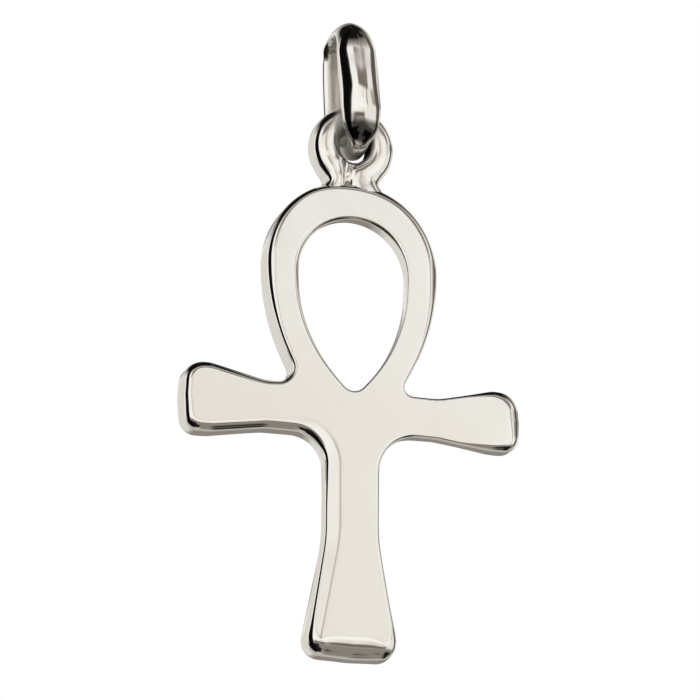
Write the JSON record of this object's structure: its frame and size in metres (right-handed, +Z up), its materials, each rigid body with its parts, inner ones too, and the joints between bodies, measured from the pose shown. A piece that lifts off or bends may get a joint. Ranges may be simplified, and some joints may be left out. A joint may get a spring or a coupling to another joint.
{
  "type": "ankh pendant",
  "caption": "Ankh pendant: a looped cross with flared arms and stem, cut from polished silver plate, whose ear hangs in the bend of a tapered, domed bail.",
  "frame": {"origin": "inner top of the bail, where the chain that carries the pendant runs", "axes": "+Z up as the pendant hangs, -Y towards the front face of the cross, +X to the right seen from the front"},
  "size_m": [0.0185, 0.0044, 0.035],
  "materials": {
    "bail_silver": "polished silver",
    "ankh_silver": "polished silver"
  },
  "bodies": {
    "bail": {"bail": "bail_silver"},
    "ankh": {"ankh": "ankh_silver"}
  },
  "joints": [
    {"name": "ear_swing", "type": "hinge", "parent": "bail", "child": "ankh", "pos_m": [0.00014, 0, -0.00612], "axis": [0, 1, 0], "range_deg": [-90, 90]}
  ]
}
